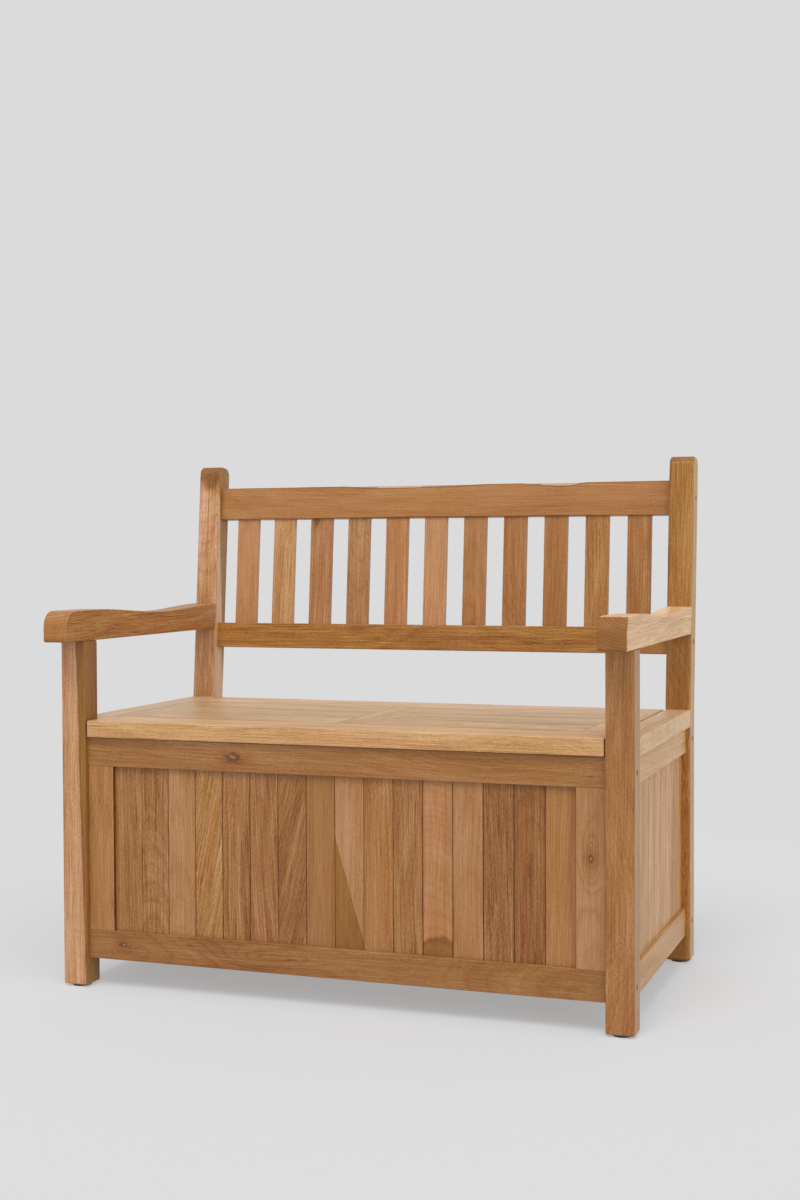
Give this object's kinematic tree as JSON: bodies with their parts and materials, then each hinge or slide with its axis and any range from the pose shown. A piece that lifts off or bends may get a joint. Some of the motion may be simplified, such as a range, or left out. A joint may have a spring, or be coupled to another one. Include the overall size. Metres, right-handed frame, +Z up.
{
  "type": "garden storage bench",
  "caption": "Wooden garden storage bench: a panelled box whose framed seat lifts as a lid on rear butt hinges, with dipped armrests and a raked slatted back.",
  "frame": {"origin": "middle of the footprint's bounding box, on the floor under the foot glides", "axes": "+X to the right when the bench is seen from the front, +Y towards the back, +Z up"},
  "size_m": [1, 0.6409, 0.923],
  "materials": {
    "teak": "planed and sanded, unfinished",
    "brass": "satin",
    "steel": "zinc plated",
    "glide_plastic": "moulded"
  },
  "bodies": {
    "bench": {"front_leg_left": "teak", "front_leg_right": "teak", "rear_leg_left": "teak", "rear_leg_right": "teak", "armrest_left": "teak", "armrest_right": "teak", "back_top_rail": "teak", "back_lower_rail": "teak", "back_slat_1": "teak", "back_slat_2": "teak", "back_slat_3": "teak", "back_slat_4": "teak", "back_slat_5": "teak", "back_slat_6": "teak", "back_slat_7": "teak", "back_slat_8": "teak", "back_slat_9": "teak", "back_slat_10": "teak", "back_slat_11": "teak", "front_top_rail": "teak", "front_bottom_rail": "teak", "front_stile_left": "teak", "front_stile_right": "teak", "front_boards": "teak", "side_top_rail_left": "teak", "side_top_rail_right": "teak", "side_bottom_rail_left": "teak", "side_bottom_rail_right": "teak", "side_boards_left": "teak", "side_boards_right": "teak", "rear_top_rail": "teak", "rear_bottom_rail": "teak", "rear_boards": "teak", "seat_strip_left": "teak", "seat_strip_right": "teak", "floor_ledger_front": "teak", "floor_ledger_rear": "teak", "floor_slats": "teak", "hinge_fixed_leaves": "brass", "hinge_pins": "brass", "hinge_fixed_screws": "brass", "ledger_screws": "steel", "frame_bolts": "steel", "barrel_nuts": "steel", "foot_glides": "glide_plastic"},
    "lid": {"lid_front_rail": "teak", "lid_rear_rail": "teak", "lid_end_rail_left": "teak", "lid_end_rail_right": "teak", "lid_mid_rail": "teak", "lid_slat_1": "teak", "lid_slat_2": "teak", "lid_slat_3": "teak", "lid_slat_4": "teak", "lid_slat_5": "teak", "lid_slat_6": "teak", "hinge_lid_leaves": "brass", "hinge_lid_screws": "brass"}
  },
  "joints": [
    {"name": "lid_hinge", "type": "hinge", "parent": "bench", "child": "lid", "pos_m": [0, 0.24033, 0.457], "axis": [-1, 0, 0], "range_deg": [0, 95]}
  ]
}
